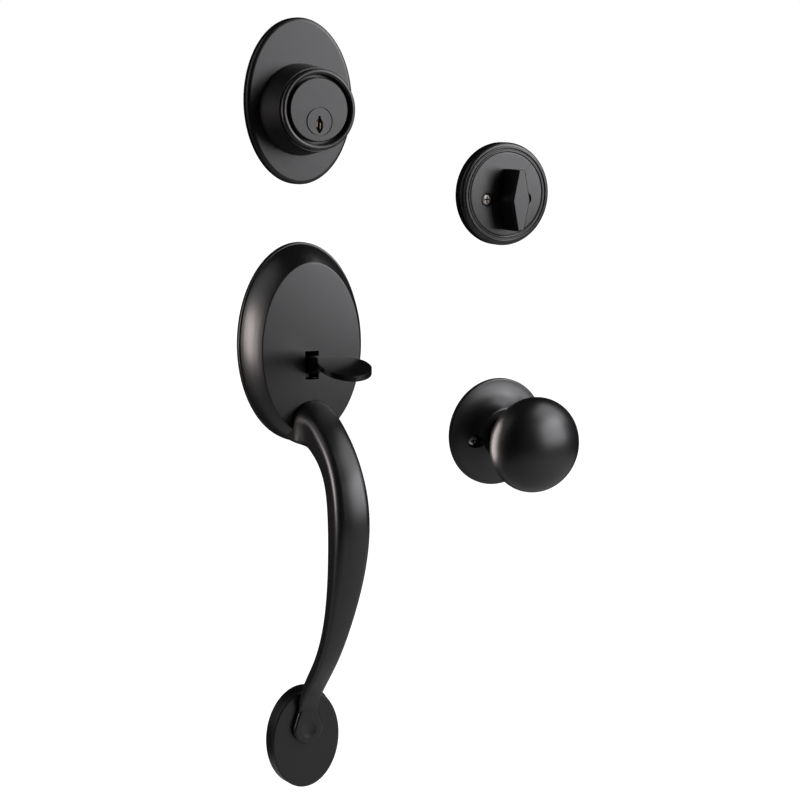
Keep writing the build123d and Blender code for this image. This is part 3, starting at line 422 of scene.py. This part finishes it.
def screw_steel(name, node, colour, roughness):
    """Steel of a pair of door screws, with painted shade in the cross of each head."""
    low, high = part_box(node)
    middle = (low + high) / 2
    material, tree, shader = new_material(name)
    x, y, z = place_on_piece(tree)
    from_middle = computed(tree, "ABSOLUTE", computed(tree, "SUBTRACT", x, middle.x))
    across = computed(tree, "SUBTRACT", from_middle, high.x - middle.x - SCREW_HEAD)
    up = computed(tree, "SUBTRACT", z, middle.z)
    squares = [computed(tree, "MULTIPLY", side, side) for side in (across, up)]
    # painted shade: mask of each head's cross recess, within its reach and deeper than its top
    near = computed(tree, "LESS_THAN", computed(tree, "SQRT", computed(tree, "ADD", *squares)), CROSS_REACH)
    deep = computed(tree, "GREATER_THAN", y, low.y + CROSS_TOP)
    steel = blended(tree, noise(tree, 0.003), colour, toned(colour, 0.86))
    # near-black painted shade blended over the steel inside the cross
    metal = blended(tree, computed(tree, "MULTIPLY", near, deep), steel, (0.03, 0.028, 0.026))
    tree.links.new(metal, shader.inputs["Base Color"])
    marks = noise(tree, MARK_SIZE, MARK_DETAIL)
    uneven(tree, shader, marks, roughness, MARK_SMOOTHER, MARK_ROUGHER)
    shader.inputs["Metallic"].default_value = 1.0
    grain(tree, shader, marks, 0.006 * MM)
    return material


def finish(material, *nodes):
    """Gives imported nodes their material."""
    for node in nodes:
        slots = NODES[node].data.materials
        slots.clear()
        slots.append(material)


def soften(width, *nodes):
    """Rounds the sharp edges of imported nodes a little, as their coating does."""
    for node in nodes:
        piece = NODES[node]
        weld = piece.modifiers.new("weld", "WELD")
        weld.merge_threshold = 0.01 * MM
        bevel = piece.modifiers.new("soft_edge", "BEVEL")
        bevel.width = width
        bevel.segments = 3
        bevel.limit_method = "ANGLE"
        bevel.angle_limit = math.radians(38)
        even = piece.modifiers.new("even_shading", "WEIGHTED_NORMAL")
        even.weight = 90


# Shapes

def as_piece(name, mesh, smooth):
    """Object of its own from a mesh, whose faces are turned outwards."""
    bmesh.ops.recalc_face_normals(mesh, faces=mesh.faces)
    for face in mesh.faces:
        face.smooth = smooth
    data = bpy.data.meshes.new(name)
    mesh.to_mesh(data)
    mesh.free()
    piece = bpy.data.objects.new(name, data)
    bpy.context.scene.collection.objects.link(piece)
    return piece


def turned(name, outline, x, z, steps=192):
    """Closed outline of radius and height, spun round a line along Y; heights run towards -Y."""
    mesh = bmesh.new()
    rings = []
    for radius, height in outline:
        angles = [2 * math.pi * k / steps for k in range(1 if radius < 1e-7 else steps)]
        rings.append([
            mesh.verts.new((x + radius * math.cos(a), -height, z + radius * math.sin(a))) for a in angles
        ])
    for before, after in zip(rings, rings[1:] + rings[:1]):
        if len(before) == len(after) == 1:
            continue
        for k in range(steps):
            corners = []
            for ring, step in ((before, k), (before, k + 1), (after, k + 1), (after, k)):
                corner = ring[step % len(ring)]
                if corner not in corners:
                    corners.append(corner)
            mesh.faces.new(corners)
    piece = as_piece(name, mesh, smooth=True)
    piece.data.set_sharp_from_angle(angle=math.radians(40))
    return piece


def skinned(name, rows, smooth):
    """Closed tube over rows of points, with a face at each end."""
    mesh = bmesh.new()
    rings = [[mesh.verts.new(point) for point in row] for row in rows]
    for before, after in zip(rings, rings[1:]):
        for k in range(len(before)):
            step = (k + 1) % len(before)
            mesh.faces.new((before[k], before[step], after[step], after[k]))
    mesh.faces.new(rings[0][::-1])
    mesh.faces.new(rings[-1])
    return as_piece(name, mesh, smooth)


def knob_shell(sizes, material):
    """Flattened hollow ball with a collar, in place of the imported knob."""
    low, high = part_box("knob")
    radius = (high.x - low.x) / 2
    middle = -low.y - sizes.half_depth

    def ball(r, depth, start_r, steps=48):
        start = -math.acos(start_r / r)
        angles = [start + (math.pi / 2 - start) * k / steps for k in range(steps + 1)]
        return [(max(0.0, r * math.cos(a)), middle + depth * math.sin(a)) for a in angles]

    outer = ball(radius, sizes.half_depth, sizes.collar_radius)
    inner = ball(radius - sizes.wall, sizes.half_depth - sizes.wall, sizes.sleeve_radius)
    back = outer[0][1] - sizes.collar
    outline = [(sizes.sleeve_radius, back), (sizes.collar_radius, back), *outer, *reversed(inner)]
    piece = turned("knob_shell", outline, (low.x + high.x) / 2, (low.z + high.z) / 2)
    piece.data.materials.append(material)
    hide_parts("knob")
    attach(piece, "knob")


def thumb_coil(sizes, material, sides=10):
    """Return spring on the thumbpiece's tail, wound at the length of the imported spring."""
    low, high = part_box("thumb_spring")
    centre = (low + high) / 2
    radius = (high.x - low.x) / 2 - sizes.wire
    length = high.z - low.z - 2 * sizes.wire
    count = sizes.turns * sizes.steps
    section = [2 * math.pi * side / sides for side in range(sides)]
    rows = []
    for k in range(count + 1):
        angle = 2 * math.pi * k / sizes.steps
        out = Vector((math.cos(angle), math.sin(angle), 0.0))
        middle = Vector((centre.x, centre.y, low.z + sizes.wire + length * k / count)) + out * radius
        rows.append([
            middle + (out * math.cos(a) + Vector((0.0, 0.0, math.sin(a)))) * sizes.wire for a in section
        ])
    piece = skinned("thumb_coil", rows, smooth=True)
    piece.data.materials.append(material)
    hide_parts("thumb_spring")
    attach(piece, "fixed")
    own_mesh(piece)


def thread_ridge(name, x, z, start_y, end_y):
    """Helical ridge round a door screw's shaft, fading out over its first and last turns."""
    thread = bpy.context.scene.handleset_thread
    count = int((end_y - start_y) / thread.pitch * thread.steps)
    side = Vector((0.0, thread.pitch * 0.36, 0.0))      # half of the ridge's foot
    top = side * 0.22                                   # half of its blunt top
    rows = []
    for k in range(count + 1):
        angle = 2 * math.pi * k / thread.steps
        direction = Vector((math.cos(angle), 0.0, math.sin(angle)))
        middle = Vector((x, start_y + (end_y - start_y) * k / count, z))
        fade = min(1.0, k / thread.steps, (count - k) / thread.steps)
        inner = middle + direction * (SCREW_SHAFT - 0.05 * MM)
        crest = middle + direction * (SCREW_SHAFT + thread.height * fade)
        rows.append((inner - side, crest - top, crest + top, inner + side))
    return skinned(name, rows, smooth=False)


# Operators

class HANDLESET_OT_deadbolt(bpy.types.Operator):
    """Finish the deadbolt's plate, collar and lock cylinder"""

    bl_idname = "handleset.deadbolt"
    bl_label = "Deadbolt"

    def execute(self, context):
        metals = context.scene.handleset_metals
        finish(satin_black("deadbolt_black"), "deadbolt_plate", "deadbolt_collar", "cylinder_body")
        finish(plug_finish(), "cylinder_plug")
        brass = brushed("pin_brass", metals.brass, 0.3, (1.0, 1.0, 0.2))
        finish(brass, "key_pins", "driver_pins", "pin_cover")
        finish(brushed("spring_wire", metals.zinc, 0.25), "pin_springs", "plug_clip")
        finish(brushed("tailpiece_plating", metals.zinc, 0.35, (1.0, 0.05, 1.0)), "tailpiece")
        return {"FINISHED"}


class HANDLESET_OT_thumbturn(bpy.types.Operator):
    """Finish the thumbturn, its rose and its screws"""

    bl_idname = "handleset.thumbturn"
    bl_label = "Thumbturn"

    def execute(self, context):
        metals = context.scene.handleset_metals
        finish(satin_black("thumbturn_black"), "turn_rose", "thumbturn")
        soften(0.6 * MM, "turn_rose", "thumbturn")
        finish(brushed("turn_plating", metals.zinc, 0.4, (0.1, 1.0, 1.0)), "turn_backplate")
        finish(brushed("turn_ring_steel", metals.zinc, 0.3), "turn_retainer")
        finish(screw_steel("turn_screw_steel", "turn_screws", metals.steel, 0.5), "turn_screws")
        return {"FINISHED"}


class HANDLESET_OT_knob(bpy.types.Operator):
    """Finish the inside knob, its rose and its works"""

    bl_idname = "handleset.knob"
    bl_label = "Knob"

    def execute(self, context):
        metals = context.scene.handleset_metals
        black = satin_black("knob_black")
        finish(black, "knob_rose", "knob", "knob_shank")
        knob_shell(context.scene.handleset_knob, black)
        plating = brushed("knob_plating", metals.zinc, 0.38, (0.1, 1.0, 1.0))
        finish(plating, "knob_backplate", "spring_housing", "knob_spindle")
        finish(brushed("knob_spring_wire", metals.zinc, 0.25), "knob_spring", "knob_ring")
        finish(screw_steel("knob_screw_steel", "knob_screws", metals.steel, 0.5), "knob_screws")
        return {"FINISHED"}


class HANDLESET_OT_escutcheon(bpy.types.Operator):
    """Finish the handle's escutcheon and what it hides"""

    bl_idname = "handleset.escutcheon"
    bl_label = "Escutcheon"

    def execute(self, context):
        metals = context.scene.handleset_metals
        finish(satin_black("escutcheon_black"), "escutcheon")
        soften(0.8 * MM, "escutcheon")
        yellow = brushed("carrier_yellow_zinc", metals.yellow_zinc, 0.32, (1.0, 1.0, 0.1))
        finish(yellow, "carrier_plate")
        plating = brushed("post_zinc", metals.zinc, 0.36, (1.0, 0.1, 1.0))
        finish(plating, "mounting_posts", "drive_spindle", "lift_lever", "thumb_pin")
        finish(brushed("hub_brass", metals.brass, 0.3), "drive_hub")
        wire = brushed("thumb_spring_wire", metals.zinc, 0.25)
        finish(wire, "thumb_spring", "hub_clip")
        thumb_coil(context.scene.handleset_spring, wire)
        finish(brushed("carrier_screw_steel", metals.steel, 0.3), "carrier_screws")
        return {"FINISHED"}


class HANDLESET_OT_thumbpiece(bpy.types.Operator):
    """Finish the thumbpiece"""

    bl_idname = "handleset.thumbpiece"
    bl_label = "Thumbpiece"

    def execute(self, context):
        finish(satin_black("thumbpiece_black", smoother=0.1), "thumbpiece")
        soften(0.5 * MM, "thumbpiece")
        return {"FINISHED"}


class HANDLESET_OT_grip(bpy.types.Operator):
    """Finish the grip and its root screw"""

    bl_idname = "handleset.grip"
    bl_label = "Grip"

    def execute(self, context):
        finish(satin_black("grip_black"), "grip")
        finish(brushed("grip_screw_steel", context.scene.handleset_metals.steel, 0.3), "grip_screw")
        return {"FINISHED"}


class HANDLESET_OT_foot(bpy.types.Operator):
    """Finish the foot plate"""

    bl_idname = "handleset.foot"
    bl_label = "Foot plate"

    def execute(self, context):
        finish(satin_black("foot_black"), "foot_plate")
        return {"FINISHED"}


class HANDLESET_OT_threads(bpy.types.Operator):
    """Wind the threads round the door screws"""

    bl_idname = "handleset.threads"
    bl_label = "Screw threads"

    def execute(self, context):
        steel = bpy.data.materials["turn_screw_steel"]
        for node, start_y in THREAD_START.items():
            low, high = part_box(node)
            z = (low.z + high.z) / 2
            for side, x in (("left", low.x + SCREW_HEAD), ("right", high.x - SCREW_HEAD)):
                piece = thread_ridge(f"{node}_thread_{side}", x, z, start_y, high.y - BARE_TIP)
                piece.data.materials.append(steel)
                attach(piece, "fixed")
        return {"FINISHED"}


class HANDLESET_OT_studio(bpy.types.Operator):
    """Set up the camera, the lamps, the floor and the pale room"""

    bl_idname = "handleset.studio"
    bl_label = "Studio"

    def execute(self, context):
        studio = context.scene.handleset_studio
        place_camera(context, studio)
        build_room(context, studio)
        lay_floor(context)
        hang_lamps(studio)
        for name, offset, facing, width, height in CARDS:
            dark_card(name, Vector(studio.target) + Vector(offset), facing, width, height)
        context.scene.view_settings.view_transform = "Standard"
        return {"FINISHED"}


# Studio

def place_camera(context, studio):
    """Camera at the photograph's angle, turned about its own line of sight."""
    a, e, r = studio.azimuth, studio.elevation, studio.roll
    back = Vector((math.sin(a) * math.cos(e), -math.cos(a) * math.cos(e), math.sin(e)))
    right = Vector((math.cos(a), math.sin(a), 0.0))
    up = back.cross(right)
    right, up = right * math.cos(r) + up * math.sin(r), up * math.cos(r) - right * math.sin(r)
    camera = bpy.data.objects.new("camera", bpy.data.cameras.new("camera"))
    camera.data.sensor_width = 36.0
    camera.data.lens = studio.lens
    camera.data.clip_start = 0.01
    place = Vector(studio.target) + back * studio.distance
    camera.matrix_world = Matrix((
        (right.x, up.x, back.x, place.x),
        (right.y, up.y, back.y, place.y),
        (right.z, up.z, back.z, place.z),
        (0.0, 0.0, 0.0, 1.0),
    ))
    context.scene.collection.objects.link(camera)
    context.scene.camera = camera


def area_lamp(name, place, target, width, height, power, colour, pieces=()):
    """Rectangular lamp that faces a point; with pieces given, it lights only those."""
    lamp = bpy.data.lights.new(name, "AREA")
    lamp.shape = "RECTANGLE"
    lamp.size = width
    lamp.size_y = height
    lamp.energy = power
    lamp.color = colour
    holder = bpy.data.objects.new(name, lamp)
    holder.location = place
    holder.rotation_euler = (place - target).to_track_quat("Z", "Y").to_euler()
    holder.visible_camera = False
    bpy.context.scene.collection.objects.link(holder)
    if pieces:
        group = bpy.data.collections.new(f"{name}_pieces")
        for piece in pieces:
            group.objects.link(piece)
        holder.light_linking.receiver_collection = group


def hang_lamps(studio):
    """Two soft lamps for everything, and small ones that draw single edges and gleams."""
    target = Vector(studio.target)
    handle = (NODES["escutcheon"], NODES["grip"])
    collar = (NODES["deadbolt_collar"],)
    hardware = [
        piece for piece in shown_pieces()
        if piece.type == "MESH" and piece.active_material and "black" not in piece.active_material.name
    ]
    for name, offset, width, height, power, colour, pieces in (
        ("key_lamp", (0.76, -0.44, 0.84), 1.05, 1.05, studio.key, COOL, ()),
        ("front_lamp", (0.86, -1.04, 0.42), 1.15, 1.00, studio.front, COOL, ()),
        ("strip_lamp", (-0.93, 0.30, 0.04), 0.38, 0.44, studio.strip, WARM, handle),
        ("side_lamp", (-0.93, 0.24, 0.10), 0.38, 0.44, studio.side, WARM, collar),
        ("back_lamp", (0.2, 1.30, 0.50), 1.4, 1.1, studio.back, COOL, hardware),
    ):
        area_lamp(name, target + Vector(offset), target, width, height, power, colour, pieces)
    face = Vector((0.0, 0.0, 0.0))
    upper_right = Vector((0.178, -0.267, 0.035))
    area_lamp("gleam_lamp", upper_right, face, 0.12, 0.12, studio.gleam, COOL, (NODES["escutcheon"],))
    knob = sum(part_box("knob"), Vector()) / 2
    behind_left = Vector((-0.11, 0.22, knob.z))
    round_pieces = (bpy.data.objects["knob_shell"], NODES["knob_shank"])
    area_lamp("edge_lamp", behind_left, knob, 0.26, 0.34, studio.edge, WARM, round_pieces)


def dark_card(name, place, facing, width, height):
    """Black card that faces one way and that only reflections show."""
    bpy.ops.mesh.primitive_plane_add(size=1.0, location=place)
    card = bpy.context.object
    card.name = name
    card.scale = (width, height, 1.0)
    card.rotation_euler = Vector(facing).to_track_quat("Z", "Y").to_euler()
    card.visible_camera = False
    card.visible_diffuse = False
    card.visible_shadow = False
    material, tree, shader = new_material(f"{name}_black")
    felt = blended(tree, noise(tree, 0.2), (0.004, 0.004, 0.004), (0.006, 0.006, 0.006))
    tree.links.new(felt, shader.inputs["Base Color"])
    shader.inputs["Roughness"].default_value = 1.0
    shader.inputs["Specular IOR Level"].default_value = 0.0
    card.data.materials.append(material)
    card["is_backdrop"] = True


def seen_directly(tree, plain=1.0, mirrored=1.0):
    """A strength for the camera and clear glass, another for reflections, and nought elsewhere."""
    path = tree.nodes.new("ShaderNodeLightPath")
    shown = computed(tree, "MAXIMUM", path.outputs["Is Camera Ray"], path.outputs["Is Transmission Ray"])
    reflected = spread(tree, path.outputs["Is Glossy Ray"], 0.0, mirrored)
    return computed(tree, "MAXIMUM", spread(tree, shown, 0.0, plain), reflected)


def build_room(context, studio):
    """Pale room: plain white where it is seen, dimmer where it lights the set."""
    world = bpy.data.worlds.new("pale_room")
    context.scene.world = world
    world.use_nodes = True
    tree = world.node_tree
    tree.nodes.clear()
    mix = tree.nodes.new("ShaderNodeMixShader")
    tree.links.new(seen_directly(tree), mix.inputs["Fac"])
    for socket, strength in ((1, studio.room), (2, 1.0)):
        light = tree.nodes.new("ShaderNodeBackground")
        light.inputs["Color"].default_value = WHITE
        light.inputs["Strength"].default_value = strength
        tree.links.new(light.outputs["Background"], mix.inputs[socket])
    output = tree.nodes.new("ShaderNodeOutputWorld")
    tree.links.new(mix.outputs["Shader"], output.inputs["Surface"])


def lay_floor(context):
    """Pale floor well below the foot plate."""
    low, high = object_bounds()
    bpy.ops.mesh.primitive_plane_add(size=FLOOR_SIZE, location=(0.0, 0.0, low.z - FLOOR_DROP))
    floor = context.object
    floor.name = "floor"
    material, tree, shader = new_material("floor_white")
    pale = blended(tree, noise(tree, 0.5), (0.42, 0.42, 0.42), (0.45, 0.45, 0.45))
    tree.links.new(pale, shader.inputs["Base Color"])
    shader.inputs["Roughness"].default_value = 0.8
    shader.inputs["Emission Color"].default_value = WHITE
    tree.links.new(seen_directly(tree, 0.95, 0.08), shader.inputs["Emission Strength"])
    floor.data.materials.append(material)
    floor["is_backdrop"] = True


# Panel and registration

class HANDLESET_PT_panel(bpy.types.Panel):
    """Settings and steps of the handleset"""

    bl_label = "Door handleset"
    bl_idname = "HANDLESET_PT_panel"
    bl_space_type = "VIEW_3D"
    bl_region_type = "UI"
    bl_category = "Handleset"

    def draw(self, context):
        scene = context.scene
        for title, group in (
            ("Coating", scene.handleset_coating),
            ("Metals", scene.handleset_metals),
            ("Knob", scene.handleset_knob),
            ("Thumbpiece spring", scene.handleset_spring),
            ("Threads", scene.handleset_thread),
            ("Studio", scene.handleset_studio),
        ):
            box = self.layout.box()
            box.label(text=title)
            for name in group.bl_rna.properties.keys():
                if name not in {"rna_type", "name"}:
                    box.prop(group, name)
        for operator in STEPS:
            self.layout.operator(operator.bl_idname)


SETTINGS = {
    "handleset_coating": CoatingSettings,
    "handleset_metals": MetalSettings,
    "handleset_knob": KnobSettings,
    "handleset_spring": SpringSettings,
    "handleset_thread": ThreadSettings,
    "handleset_studio": StudioSettings,
}
STEPS = (
    HANDLESET_OT_deadbolt,
    HANDLESET_OT_thumbturn,
    HANDLESET_OT_knob,
    HANDLESET_OT_escutcheon,
    HANDLESET_OT_thumbpiece,
    HANDLESET_OT_grip,
    HANDLESET_OT_foot,
    HANDLESET_OT_threads,
    HANDLESET_OT_studio,
)


def register():
    for group in SETTINGS.values():
        bpy.utils.register_class(group)
    for name, group in SETTINGS.items():
        setattr(bpy.types.Scene, name, PointerProperty(type=group))
    for operator in STEPS:
        bpy.utils.register_class(operator)
    bpy.utils.register_class(HANDLESET_PT_panel)


def unregister():
    bpy.utils.unregister_class(HANDLESET_PT_panel)
    for operator in reversed(STEPS):
        bpy.utils.unregister_class(operator)
    for name, group in reversed(SETTINGS.items()):
        delattr(bpy.types.Scene, name)
        bpy.utils.unregister_class(group)


def main():
    register()
    for operator in STEPS:
        group, name = operator.bl_idname.split(".")
        getattr(getattr(bpy.ops, group), name)()


if __name__ == "__main__":
    main()
